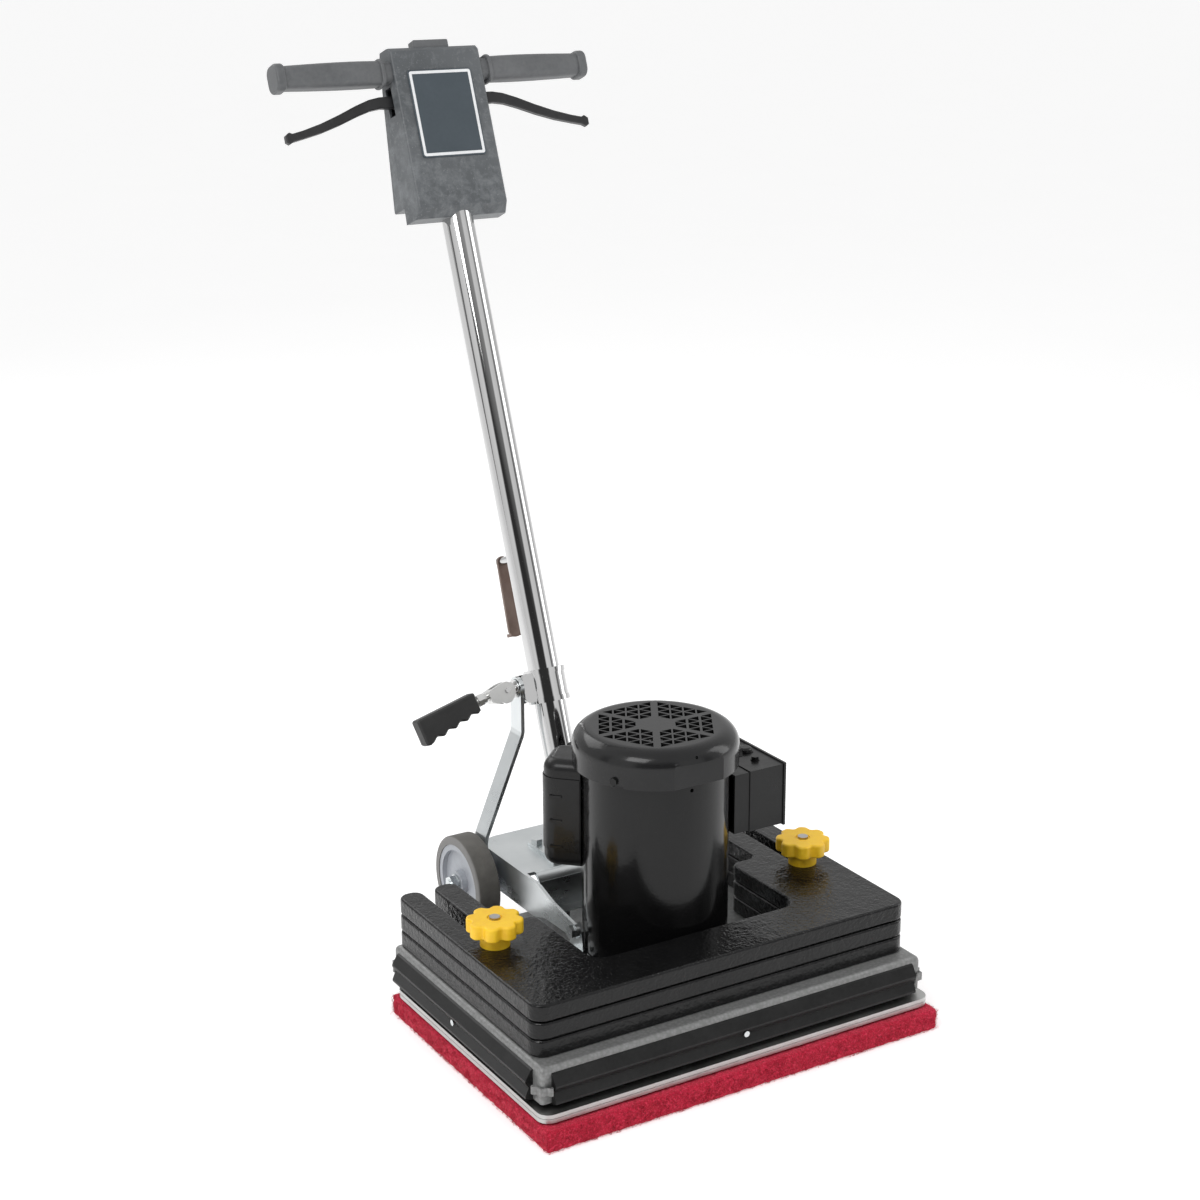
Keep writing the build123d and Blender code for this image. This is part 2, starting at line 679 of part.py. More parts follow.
def lever_grip():
    """Flat moulded grip with four finger grooves along its lower edge."""
    right, left, top = -41.0, -121.5, 15.5
    lower = grooved_edge(right - 4, 17, 3.6)
    foot_x, foot_y = lower[-1]
    rest = Polyline((foot_x, foot_y), (foot_x - 3, foot_y - 0.9), (left + 2, foot_y - 0.4),
                    (left, foot_y + 2), (left, top - 2), (left + 2, top), (right - 1.5, top),
                    (right, top - 1.5), (right, -7), lower[0])
    outline = make_face([Spline(*lower), rest])
    grip = Pos(0, 0, -9) * extrude(outline, 18)
    rims = grip.faces().sort_by(Axis.Z)[0].edges() + grip.faces().sort_by(Axis.Z)[-1].edges()
    grip = chamfer(rims, 2.0)
    return lever_place() * (grip - rod_x(4, -48, -40, stem_offset))


# ---- locking strut ---------------------------------------------------------------
# The strut hangs from the collar's boss; centreline (x, distance down from the boss)
strut_line = [(-39.5, 8), (-39.5, -51.8), (-41, -57.8), (-90.4, -175.8), (-91.6, -182.8),
              (-91.6, -221)]


def strut():
    """Flat bar bent out towards the wheel, its lower eye loose round the axle."""
    place = HANDLE.location * Pos(0, clamp_rise, 0)
    top = place.position
    half = 2.3
    left, right = [], []
    for index, (x, drop) in enumerate(strut_line):
        before = strut_line[max(index - 1, 0)]
        after = strut_line[min(index + 1, len(strut_line) - 1)]
        direction = Vector(after[0] - before[0], after[1] - before[1]).normalized()
        normal = Vector(-direction.Y, direction.X)
        left.append((x + normal.X * half, drop + normal.Y * half))
        right.append((x - normal.X * half, drop - normal.Y * half))
    outline = make_face(Polyline(*(left + right[::-1]), close=True))
    width = 25
    plane = Plane(origin=(0, top.Y + width / 2, top.Z), x_dir=(1, 0, 0), z_dir=(0, -1, 0))
    bar = extrude(plane * outline, width)
    upper_eye = rod_x(14, -41.8, -37.2, top.Y, top.Z)
    lower_eye = rod_x(19, -93.9, -89.3, axle_y, axle_z)
    bar = bar + upper_eye + lower_eye
    bar -= rod_x(4 + fit, -50, -30, top.Y, top.Z)
    return bar - rod_x(13, -100, -80, axle_y, axle_z)


# ---- control box -----------------------------------------------------------------
def split_depth(rise):
    """Depth of the slanting joint between the box's two shells."""
    return -12 + 17 * (rise + 9) / 205


# Side outlines as (height up the tube, distance in front of the tube's axis)
front_outline = [(3, 24), (191, 24), (196, 19), (196, split_depth(196)), (-9, split_depth(-9)),
                 (-9, 14)]
front_hollow = [(6, 20.5), (190, 20.5), (193, 17), (193, split_depth(193) - 1),
                (-6, split_depth(-6) - 1), (-6, 12.5)]
rear_outline = [(10, split_depth(10)), (196, split_depth(196)), (196, 0), (188, -3), (12, -38),
                (10, -36)]
rear_hollow = [(13, split_depth(13) + 1), (193, split_depth(193) + 1), (193, 1.5), (187, 0.5),
               (15, -34), (13, -32)]


def profile_block(points, inset):
    """Polygon of (rise, depth) points across the box, narrowing a little towards its front."""
    plane = Plane(origin=(-box_half_x, 0, 0), x_dir=(0, 1, 0), z_dir=(1, 0, 0))
    solid = extrude(plane * make_face(Polyline(*points, close=True)), 2 * box_half_x)
    wide, narrow = box_half_x - inset, box_half_x - box_draft - inset
    sides = [(-wide, -40), (wide, -40), (wide, -12), (narrow, 25), (-narrow, 25), (-wide, -12)]
    plan = Plane(origin=(0, 200, 0), x_dir=(1, 0, 0), z_dir=(0, -1, 0))
    return solid & extrude(plan * make_face(Polyline(*sides, close=True)), 215)


def lever_slots():
    return block((-70, 70), (118, 152), (-3, 10))


def button_opening():
    return block((-23.6, 23.6), (185, 200), (2.4, 17.6))


def grip_sockets():
    """Holes in the box's sides for the necks of the hand grips."""
    return extrude(grip_section(-box_half_x - 1, 25, 25, 8), 2 * box_half_x + 2)


def control_box_front():
    shell = profile_block(front_outline, 0)
    rim = [e for e in shell.edges() if e.center().Z > 13]
    shell = fillet(rim, 3.2)
    shell -= profile_block(front_hollow, 3)
    shell -= lever_slots()
    shell -= button_opening()
    shell -= grip_sockets()
    shell -= Rot(90, 0, 0) * Cylinder(tube_radius, 60)
    return BOX.location * shell


def control_box_rear():
    shell = profile_block(rear_outline, 0)
    shell = fillet([e for e in shell.edges().filter_by(Axis.X) if e.center().Z < -1], 2)
    shell -= profile_block(rear_hollow, 3)
    shell -= lever_slots()
    shell -= grip_sockets()
    shell -= Rot(90, 0, 0) * Cylinder(tube_radius, 60)
    shell -= button_opening()
    shell -= Pos(40, 10, -18) * Rot(90, 0, 0) * Cylinder(9, 20)
    return BOX.location * shell


def label_panel():
    panel = block((-42.5, 42.5), (61, 167), (24, 25.6))
    panel = fillet(panel.edges().filter_by(Axis.Z), 4)
    return BOX.location * fillet(panel.faces().sort_by(Axis.Z)[-1].edges(), 0.8)


def grip_section(x, height, depth, radius):
    plane = Plane(origin=(x, grip_rise, grip_depth), x_dir=(0, 1, 0), z_dir=(1, 0, 0))
    return plane * RectangleRounded(height, depth, radius)


def hand_grip(side):
    """Moulded grip, swelling towards the middle, with a flange at each end."""
    inner = grip_inner_x
    sizes = [(0, 29, 27), (50, 30, 29), (90, 29, 28), (128, 27, 27)]
    sections = [grip_section(inner + x, height, depth, 9) for x, height, depth in sizes]
    grip = loft(sections)
    neck_start = box_half_x - 6
    neck = extrude(grip_section(neck_start, 25, 25, 8), inner - neck_start + 4)
    collar_ring = extrude(grip_section(inner, 34, 32, 11), 5)
    collar_ring = fillet(collar_ring.faces().filter_by(Axis.X).edges(), 1.8)
    end = extrude(grip_section(inner + 126, 33, 32, 11), 12)
    end = fillet(end.faces().filter_by(Axis.X).edges(), 3)
    grip = grip + neck + collar_ring + end
    return grip if side > 0 else mirrored(grip)


def hand_grips():
    return BOX.location * group([hand_grip(side) for side in SIDES])


# Lever centreline: (distance from the lever's pivot along X, rise above the box's foot)
trigger_line = [(0, 134), (12, 134.5), (24, 134.8), (38, 132.5), (56, 126.5), (80, 117),
                (105, 108.5), (128, 102.5), (142, 99.5)]
trigger_half = [7.5, 7.2, 6.8, 6.6, 6.4, 6.0, 5.4, 4.8, 4.8]


def trigger(side):
    """Bent hand lever, pivoted inside the box."""
    upper = [(lever_pivot_x + x, rise + h) for (x, rise), h in zip(trigger_line, trigger_half)]
    lower = [(lever_pivot_x + x, rise - h) for (x, rise), h in zip(trigger_line, trigger_half)]
    tip_x, tip_rise = lever_pivot_x + trigger_line[-1][0], trigger_line[-1][1]
    nose = [(tip_x + 4, tip_rise + 6.5), (tip_x + 9, tip_rise + 3), (tip_x + 9, tip_rise - 5),
            (tip_x + 5, tip_rise - 7.5)]
    outline = make_face(Polyline(*(upper + nose + lower[::-1]), close=True))
    lever = Pos(0, 0, lever_depth - 4) * extrude(outline, 8)
    rims = [e for face in (lever.faces().sort_by(Axis.Z)[0], lever.faces().sort_by(Axis.Z)[-1])
            for e in face.edges()]
    lever = chamfer(rims, 1.2)
    lever += Pos(lever_pivot_x, lever_pivot_rise, lever_depth) * Cylinder(7.5, 8)
    lever -= Pos(lever_pivot_x, lever_pivot_rise, lever_depth) * Cylinder(3 + fit, 20)
    if side < 0:
        lever = mirrored(lever)
    return BOX.location * lever


def trigger_switch():
    """Switch block between the levers, with their two pivot pins."""
    switch = block((-16, 16), (104, 150), (-4, 20.5)) + block((-40, 40), (104, 110), (-2, 10))
    for side in SIDES:
        pin = Pos(side * lever_pivot_x, lever_pivot_rise, lever_depth) * Cylinder(3, 16.5)
        foot = block((40, 57), (104, 116), (-4, 10))
        post = Pos(lever_pivot_x, lever_pivot_rise, -3.2) * Cylinder(6, 2)
        web = block((48, 56), (104, 134), (-4.2, -2.2))
        part = foot + post + web
        switch += pin
        switch += part if side > 0 else mirrored(part)
    return BOX.location * switch


def lockout_button():
    """Wide safety button in the top of the control box."""
    cap = block((-23, 23), (180, 206), (3, 17))
    cap = fillet(cap.faces().sort_by(Axis.Y)[-1].edges(), 2)
    flange = block((-27, 27), (188.5, 192.5), (2.2, 17))
    return BOX.location * (cap + flange)


def cord_gland():
    """Gland of the mains cord under the box, and grommet of the motor lead on the tube."""
    gland = rod(9, -7, 9) + rod(12, 0, 4) + rod(11, -7, -3) - rod(5, -20, 20)
    gland = BOX.location * Pos(40, 10, -18) * Rot(90, 0, 0) * gland
    plug = Pos(8, 96, tube_radius - 2) * Rot(-25, 20, 0) * Cylinder(7.5, 9)
    plug -= Pos(0, 96, 0) * Rot(90, 0, 0) * Cylinder(tube_radius, 60)
    return group([gland, HANDLE.location * plug])


# ---- write the parts -------------------------------------------------------------
def all_parts():
    parts = {
        "scrub_pad": scrub_pad(), "grip_face": grip_face(), "pad_plate": pad_plate(),
        "driver_plate": driver_plate(), "driver_bearing": driver_bearing(),
        "deck_housing": deck_housing(), "bumpers_front_rear": bumpers_front_rear(),
        "bumpers_sides": bumpers_sides(), "bumper_rivets": bumper_rivets(),
        "bumper_clips": bumper_clips(), "isolators": isolators(),
        "weight_studs": weight_studs(), "weight_lower": weight(0), "weight_middle": weight(1),
        "weight_upper": weight(2), "knob_left": star_knob(-1), "knob_right": star_knob(1),
        "end_bell_lower": end_bell_lower(), "motor_shell": motor_shell(),
        "end_bell_upper": end_bell_upper(), "stator": stator(),
        "motor_bearings": motor_bearings(), "fan_cover": fan_cover(),
        "motor_screws": motor_screws(), "capacitor_cover": capacitor_cover(),
        "capacitor": capacitor(), "conduit_box": conduit_box(),
        "conduit_cover": conduit_cover(), "conduit_fittings": conduit_fittings(),
        "motor_bolts": motor_bolts(), "rotor_shaft": rotor_shaft(),
        "eccentric_hub": eccentric_hub(), "rotor_core": rotor_core(),
        "cooling_fan": cooling_fan(), "pivot_brackets": pivot_brackets(),
        "pivot_bolts": pivot_bolts(), "carriage_frame": carriage_frame(),
        "wheel_axle": wheel_axle(), "axle_nuts": axle_nuts(), "handle_yoke": handle_yoke(),
        "carriage_bolts": carriage_bolts(),
        "hub_left": wheel_hub(-1), "tyre_left": wheel_tyre(-1), "hub_right": wheel_hub(1),
        "tyre_right": wheel_tyre(1), "strut": strut(), "handle_tube": handle_tube(),
        "cord_hook": cord_hook(), "collar": collar(),
        "lock_lever": lock_lever(), "lever_grip": lever_grip(),
        "control_box_front": control_box_front(), "control_box_rear": control_box_rear(),
        "label_panel": label_panel(), "hand_grips": hand_grips(),
        "trigger_left": trigger(-1), "trigger_right": trigger(1),
        "trigger_switch": trigger_switch(), "lockout_button": lockout_button(),
        "cord_gland": cord_gland(),
    }
    return parts


os.makedirs("parts", exist_ok=True)
for name, shape in all_parts().items():
    export_step(shape, f"parts/{name}.step")
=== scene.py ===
"""Looks of the orbital floor machine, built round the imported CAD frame."""
import math
import random

import bpy
from mathutils import Matrix, Vector, noise


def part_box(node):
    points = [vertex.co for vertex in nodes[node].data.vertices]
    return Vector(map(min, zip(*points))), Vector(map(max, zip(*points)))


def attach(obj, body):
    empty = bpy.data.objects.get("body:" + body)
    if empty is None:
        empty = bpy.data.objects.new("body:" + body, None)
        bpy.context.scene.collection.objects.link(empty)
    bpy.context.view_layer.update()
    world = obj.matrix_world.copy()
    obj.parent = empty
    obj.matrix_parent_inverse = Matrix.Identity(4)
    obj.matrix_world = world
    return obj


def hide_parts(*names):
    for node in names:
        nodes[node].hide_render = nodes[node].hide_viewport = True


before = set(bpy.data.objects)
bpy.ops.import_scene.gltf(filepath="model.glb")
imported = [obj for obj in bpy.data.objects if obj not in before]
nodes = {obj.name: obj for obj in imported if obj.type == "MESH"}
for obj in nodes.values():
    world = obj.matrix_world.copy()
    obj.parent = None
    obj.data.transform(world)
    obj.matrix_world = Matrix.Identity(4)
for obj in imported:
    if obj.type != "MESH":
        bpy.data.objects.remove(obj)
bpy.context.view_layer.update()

# ---- places taken from the CAD, in metres ------------------------------------
lean = math.radians(20.88)
pivot = Vector((0, 0.1772, 0.1634))
up_tube = Vector((0, math.sin(lean), math.cos(lean)))
out_front = Vector((0, -math.cos(lean), math.sin(lean)))
box_rise = 0.7526
box_top_height, box_foot_height = 1.03, 0.89


def box_point(x, rise, depth):
    """Point across, up and in front of the foot of the control box, in the handle's own axes."""
    return pivot + Vector((x, 0, 0)) + up_tube * (box_rise + rise) + out_front * depth


# ---- node material helpers ---------------------------------------------------
class Graph:
    """Short calls for building a node tree."""

    def __init__(self, tree):
        self.tree = tree

    def add(self, kind, **settings):
        node = self.tree.nodes.new(kind)
        for key, value in settings.items():
            setattr(node, key, value)
        return node

    def link(self, output, target):
        self.tree.links.new(output, target)

    def remap(self, value, low, high, start=0.0, end=1.0):
        node = self.add("ShaderNodeMapRange")
        node.inputs["From Min"].default_value = low
        node.inputs["From Max"].default_value = high
        node.inputs["To Min"].default_value = start
        node.inputs["To Max"].default_value = end
        self.link(value, node.inputs["Value"])
        return node.outputs["Result"]

    def math(self, operation, first, second):
        node = self.add("ShaderNodeMath", operation=operation)
        for socket, value in zip(node.inputs, (first, second)):
            if isinstance(value, (int, float)):
                socket.default_value = value
            else:
                self.link(value, socket)
        return node.outputs["Value"]

    def axes(self, vector):
        node = self.add("ShaderNodeSeparateXYZ")
        self.link(vector, node.inputs["Vector"])
        return node.outputs

    def ramp(self, value, stops):
        """Grey levels along a value from 0 to 1, given as (position, level)."""
        node = self.add("ShaderNodeValToRGB")
        marks = node.color_ramp.elements
        while len(marks) < len(stops):
            marks.new(0.5)
        for mark, (position, level) in zip(marks, stops):
            mark.position = position
            mark.color = (level, level, level, 1)
        self.link(value, node.inputs["Fac"])
        return node.outputs["Color"]

    def mix(self, factor, first, second):
        """Blend two colours, each a tuple or another mix's output."""
        node = self.add("ShaderNodeMix", data_type="RGBA")
        self.link(factor, node.inputs["Factor"])
        for name, value in (("A", first), ("B", second)):
            socket = [s for s in node.inputs if s.name == name and s.type == "RGBA"][0]
            if isinstance(value, tuple):
                socket.default_value = (*value, 1)
            else:
                self.link(value, socket)
        return [s for s in node.outputs if s.type == "RGBA"][0]


class Shader(Graph):
    """One material with a Principled shader."""

    def __init__(self, name):
        self.material = bpy.data.materials.new(name)
        self.material.use_nodes = True
        super().__init__(self.material.node_tree)
        self.bsdf = self.tree.nodes["Principled BSDF"]
        coordinates = self.add("ShaderNodeTexCoord")
        self.place = coordinates.outputs["Object"]
        self.normal = coordinates.outputs["Normal"]

    def plain(self, **values):
        """Set uniform values straight on the shader's sockets."""
        for key, value in values.items():
            socket = self.bsdf.inputs[key.replace("_", " ")]
            socket.default_value = (*value, 1) if isinstance(value, tuple) else value

    def stretch(self, scale):
        node = self.add("ShaderNodeMapping")
        node.inputs["Scale"].default_value = scale
        self.link(self.place, node.inputs["Vector"])
        return node.outputs["Vector"]

    def noise(self, scale, detail=3.0, roughness=0.5, stretch=None, distortion=0.0):
        node = self.add("ShaderNodeTexNoise")
        node.inputs["Scale"].default_value = scale
        node.inputs["Detail"].default_value = detail
        node.inputs["Roughness"].default_value = roughness
        node.inputs["Distortion"].default_value = distortion
        self.link(self.stretch(stretch) if stretch else self.place, node.inputs["Vector"])
        return node.outputs["Fac"]

    def cells(self, scale, feature="F1"):
        node = self.add("ShaderNodeTexVoronoi", feature=feature)
        node.inputs["Scale"].default_value = scale
        self.link(self.place, node.inputs["Vector"])
        return node.outputs["Distance"]

    def colour(self, output):
        self.link(output, self.bsdf.inputs["Base Color"])

    def rough(self, value, low, high, start, end):
        self.link(self.remap(value, low, high, start, end), self.bsdf.inputs["Roughness"])

    def bump(self, *layers):
        """Chain of (height output, strength, distance in metres)."""
        normal = None
        for height, strength, distance in layers:
            node = self.add("ShaderNodeBump")
            node.inputs["Strength"].default_value = strength
            node.inputs["Distance"].default_value = distance
            self.link(height, node.inputs["Height"])
            if normal:
                self.link(normal, node.inputs["Normal"])
            normal = node.outputs["Normal"]
        self.link(normal, self.bsdf.inputs["Normal"])


# ---- materials ---------------------------------------------------------------
def worn_metal(name, dark, light, roughness, brush, brush_depth=0.00002, blotch=14.0):
    """Bare or plated metal with soft blotches and a brushed grain along the stretched axis."""
    s = Shader(name)
    s.plain(Metallic=1.0)
    cloud = s.noise(blotch, 5, 0.6)
    grain = s.noise(1.0, 4, 0.6, stretch=brush)
    s.colour(s.mix(s.remap(cloud, 0.25, 0.75), dark, light))
    s.rough(s.math("ADD", cloud, s.math("MULTIPLY", grain, 0.5)), 0.5, 1.1,
            roughness * 0.8, roughness * 1.25)
    s.bump((grain, 0.35, brush_depth), (s.noise(900, 2), 0.12, 0.00002))
    return s.material


fleck_grey = (0.035, 0.035, 0.035)


def black_coat(name, wrinkle, wrinkle_depth, roughness, base, dust):
    """Gloss or wrinkled black paint, with a little dust and uneven gloss."""
    s = Shader(name)
    s.plain(Specular_IOR_Level=0.22, Coat_Weight=0.14, Coat_Roughness=0.05)
    cloud = s.noise(9, 6, 0.62)
    speck = s.noise(700, 2, 0.5)
    shade = s.mix(s.remap(cloud, 0.35, 0.75), (base, base, base * 1.05),
                  (base + dust, base + dust, base + dust * 1.05))
    s.colour(s.mix(s.remap(speck, 0.7, 0.82), shade, fleck_grey))
    s.rough(s.noise(38, 4), 0.3, 0.7, roughness * 0.8, roughness * 1.3)
    s.bump((s.noise(wrinkle, 2.5, 0.45, distortion=0.8), 0.8, wrinkle_depth),
           (s.noise(wrinkle * 0.22, 2), 0.3, wrinkle_depth * 2.2))
    return s.material


def moulded(name, dark, light, roughness, grain=1400.0, grain_depth=0.00004, blotch=24.0,
            shine=0.5):
    """Moulded plastic or rubber with a fine grain and uneven colour."""
    s = Shader(name)
    s.plain(Specular_IOR_Level=shine)
    cloud = s.noise(blotch, 6, 0.65)
    fine = s.noise(blotch * 9, 3, 0.6)
    both = s.math("ADD", s.math("MULTIPLY", cloud, 0.65), s.math("MULTIPLY", fine, 0.35))
    s.colour(s.mix(s.remap(both, 0.36, 0.64), dark, light))
    s.rough(both, 0.35, 0.65, roughness * 0.88, roughness * 1.14)
    s.bump((s.noise(grain, 2), 0.5, grain_depth), (s.cells(grain * 0.45), 0.25, grain_depth))
    return s.material


def tyre_rubber(name):
    """Warm grey rubber, lighter on its moulded sides than on the worn tread."""
    s = Shader(name)
    sideways = s.math("ABSOLUTE", s.axes(s.normal)["X"], 0)
    scuff = s.noise(60, 6, 0.7)
    tread = s.mix(s.remap(scuff, 0.35, 0.65), (0.085, 0.081, 0.073), (0.125, 0.120, 0.110))
    wall = s.mix(s.remap(scuff, 0.35, 0.65), (0.190, 0.187, 0.182), (0.235, 0.231, 0.226))
    s.colour(s.mix(s.remap(sideways, 0.45, 0.8), tread, wall))
    s.rough(scuff, 0.35, 0.65, 0.55, 0.78)
    s.bump((s.noise(800, 2), 0.5, 0.0001), (scuff, 0.3, 0.00025))
    return s.material


def box_shell(name):
    """Slate structural foam: pale blotches and fine flecks, more of them towards its foot."""
    s = Shader(name)
    blotch = s.noise(58, 8, 0.74, distortion=0.35)
    fleck = s.noise(330, 3, 0.7)
    cloud = s.noise(11, 3, 0.5)
    foot = s.remap(s.axes(s.place)["Z"], box_top_height, box_foot_height)
    skin = s.mix(s.remap(cloud, 0.35, 0.65), (0.076, 0.083, 0.089), (0.104, 0.112, 0.119))
    pale = s.math("ADD", blotch, s.math("MULTIPLY", foot, 0.09))
    blotched = s.mix(s.remap(pale, 0.52, 0.80), skin, (0.180, 0.191, 0.200))
    s.colour(s.mix(s.remap(fleck, 0.60, 0.76), blotched, (0.21, 0.22, 0.23)))
    s.rough(blotch, 0.35, 0.7, 0.36, 0.52)
    s.bump((s.noise(1100, 2), 0.5, 0.00012), (blotch, 0.2, 0.0004))
    return s.material


def hammertone(name):
    """Grey hammered paint of the deck."""
    s = Shader(name)
    s.plain(Metallic=0.35)
    dimple = s.cells(260)
    cloud = s.noise(7, 5, 0.6)
    shade = s.mix(s.remap(cloud, 0.3, 0.7), (0.17, 0.172, 0.17), (0.215, 0.217, 0.214))
    s.colour(s.mix(s.remap(dimple, 0.05, 0.75), (0.27, 0.272, 0.27), shade))
    s.rough(s.noise(60, 3), 0.3, 0.7, 0.36, 0.5)
    s.bump((dimple, 0.4, 0.0003), (s.noise(500, 2), 0.2, 0.00006))
    return s.material


def pad_felt(name):
    """Crimson non-woven fibre, with painted shade darkening the hollows of its bump."""
    s = Shader(name)
    s.plain(Specular_IOR_Level=0.2, Sheen_Weight=0.08, Sheen_Roughness=0.6)
    web = s.noise(420, 5, 0.75, distortion=1.2)
    cloud = s.noise(22, 4, 0.6)
    pits = s.cells(520)
    red = s.mix(s.remap(cloud, 0.3, 0.7), (0.52, 0.007, 0.036), (0.66, 0.014, 0.062))
    # Painted shade: the colour darkens where the web noise, which is also the bump's height, is
    # low, in the hollows
    dark = s.mix(s.remap(web, 0.36, 0.58), (0.32, 0.003, 0.014), red)
    # Lighter pink fibre on the raised rims between the pits; the pit centres keep the colour
    # above, with its painted shade
    s.colour(s.mix(s.remap(pits, 0.55, 0.85), dark, (0.70, 0.035, 0.085)))
    s.rough(web, 0.3, 0.7, 0.8, 1.0)
    s.bump((web, 0.9, 0.0012), (pits, 0.5, 0.0006))
    return s.material


def floor_paint(name):
    """Matt near-white floor that glows a little, so it stays pale far from the lights."""
    s = Shader(name)
    s.plain(Roughness=0.9, Emission_Color=(1.0, 1.0, 1.0), Emission_Strength=0.30)
    s.colour(s.mix(s.noise(2.5, 3), (0.89, 0.89, 0.89), (0.91, 0.91, 0.91)))
    return s.material


materials = {
    "weights": black_coat("weight_wrinkle", 220, 0.0012, 0.17, 0.004, 0.005),
    "motor": black_coat("motor_gloss", 300, 0.00010, 0.16, 0.004, 0.003),
    "cover": black_coat("cover_gloss", 300, 0.00010, 0.17, 0.011, 0.008),
    "satin_box": black_coat("box_satin", 650, 0.00010, 0.3, 0.007, 0.005),
    "bumper": moulded("bumper_black", (0.006, 0.006, 0.006), (0.013, 0.013, 0.013), 0.34, 900,
                      shine=0.28),
    "deck": hammertone("deck_hammertone"),
    "driver": worn_metal("driver_aluminium", (0.44, 0.44, 0.43), (0.60, 0.60, 0.59), 0.38,
                         (8, 260, 260)),
    "zinc": worn_metal("zinc_plate", (0.60, 0.63, 0.64), (0.72, 0.745, 0.75), 0.3,
                       (40, 9, 240), blotch=16.0),
    "steel": worn_metal("turned_steel", (0.42, 0.41, 0.40), (0.62, 0.61, 0.60), 0.3,
                        (120, 120, 20)),
    "bar": worn_metal("bar_steel", (0.14, 0.092, 0.075), (0.27, 0.215, 0.19), 0.38,
                      (30, 9, 160), blotch=20.0),
    "cast": worn_metal("satin_plate", (0.66, 0.66, 0.65), (0.76, 0.76, 0.75), 0.36,
                       (120, 40, 120), blotch=20.0),
    "chrome": worn_metal("chrome", (0.57, 0.57, 0.57), (0.63, 0.63, 0.63), 0.07,
                         (90, 90, 6), 0.000004, 8.0),
    "knob": moulded("knob_yellow", (0.90, 0.52, 0.010), (0.98, 0.63, 0.022), 0.45, 900, 0.00018),
    "tyre": tyre_rubber("tyre_grey"),
    "hub": moulded("hub_grey", (0.33, 0.35, 0.38), (0.42, 0.44, 0.475), 0.4, 900, 0.00006),
    "slate": box_shell("box_slate"),
    "panel": moulded("panel_blue", (0.045, 0.060, 0.072), (0.052, 0.068, 0.082), 0.34, 1500),
    "line": moulded("frame_line", (0.72, 0.73, 0.74), (0.80, 0.81, 0.82), 0.4),
    "hand": moulded("hand_grip", (0.088, 0.092, 0.096), (0.128, 0.132, 0.137), 0.5, 1000,
                    0.00012),
    "black": moulded("black_plastic", (0.009, 0.009, 0.010), (0.018, 0.018, 0.019), 0.33, 1200),
    "rubber": moulded("black_rubber", (0.009, 0.009, 0.009), (0.018, 0.018, 0.018), 0.5, 900,
                      0.0001),
    "copper": worn_metal("winding_copper", (0.45, 0.2, 0.08), (0.6, 0.3, 0.14), 0.4,
                         (300, 300, 30)),
    "pad": pad_felt("pad_felt"),
    "floor": floor_paint("pale_floor"),
}

node_looks = {
    "weights": ["weight_lower", "weight_middle", "weight_upper"],
    "motor": ["motor_shell", "motor_screws", "end_bell_lower", "end_bell_upper"],
    "cover": ["fan_cover"],
    "satin_box": ["capacitor_cover", "capacitor", "conduit_box", "conduit_cover",
                  "conduit_fittings"],
    "bumper": ["bumpers_front_rear", "bumpers_sides", "grip_face"],
    "deck": ["deck_housing", "bumper_clips"],
    "driver": ["driver_plate", "pad_plate"],
    "zinc": ["bumper_rivets", "pivot_brackets", "pivot_bolts", "carriage_frame", "wheel_axle",
             "axle_nuts", "handle_yoke", "carriage_bolts", "strut"],
    "bar": ["cord_hook"],
    "cast": ["lock_lever"],
    "steel": ["weight_studs", "motor_bearings", "motor_bolts", "rotor_shaft",
              "eccentric_hub", "driver_bearing"],
    "chrome": ["handle_tube", "collar"],
    "knob": ["knob_left", "knob_right"],
    "tyre": ["tyre_left", "tyre_right"],
    "hub": ["hub_left", "hub_right"],
    "slate": ["control_box_front", "control_box_rear"],
    "panel": ["label_panel"],
    "hand": ["hand_grips", "lockout_button"],
    "black": ["cooling_fan", "trigger_switch", "trigger_left", "trigger_right"],
    "rubber": ["isolators", "cord_gland", "lever_grip"],
    "copper": ["stator", "rotor_core"],
    "pad": ["scrub_pad"],
}
for look, names in node_looks.items():
    for name in names:
        mesh = nodes[name].data
        mesh.materials.clear()
        mesh.materials.append(materials[look])


# ---- mesh helpers ------------------------------------------------------------
def new_piece(name, points, faces, look, smooth=True):
    """Object from lists of points and faces, with a material."""
    data = bpy.data.meshes.new(name)
    data.from_pydata(points, [], faces)
    data.materials.append(materials[look])
    data.polygons.foreach_set("use_smooth", [smooth] * len(data.polygons))
    data.validate()
    piece = bpy.data.objects.new(name, data)
    bpy.context.scene.collection.objects.link(piece)
    return piece


def ring_strip(first, second, count):
    """Faces that join two closed rings of points, given by their first indices."""
    return [(first + i, first + (i + 1) % count, second + (i + 1) % count, second + i)
            for i in range(count)]


# ---- scrub pad -----------------------------------------------------------------
pad_low, pad_high = (Vector(corner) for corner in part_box("scrub_pad"))
pad_cell = 0.004
pad_round = 0.003
skin_sink = 0.0006
lump_height, lump_scale = 0.0009, 160
grain_height, grain_scale = 0.0007, 420


def rounded_block(low, high, cell):
    """Closed block as one skin of small squares: a grid of points, less its inside."""
    counts = [max(2, round((high[a] - low[a]) / cell)) for a in range(3)]
    index, points, faces = {}, [], []

    def corner(key):
        if key not in index:
            index[key] = len(points)
            points.append(Vector([low[a] + (high[a] - low[a]) * key[a] / counts[a]
                                  for a in range(3)]))
        return index[key]

    for axis in range(3):
        first, second = (axis + 1) % 3, (axis + 2) % 3
        for level in (0, counts[axis]):
            for i in range(counts[first]):
                for j in range(counts[second]):
                    keys = []
                    for step_i, step_j in ((0, 0), (1, 0), (1, 1), (0, 1)):
                        key = [0, 0, 0]
                        key[axis], key[first], key[second] = level, i + step_i, j + step_j
                        keys.append(corner(tuple(key)))
                    faces.append(keys if level else keys[::-1])
    return points, faces


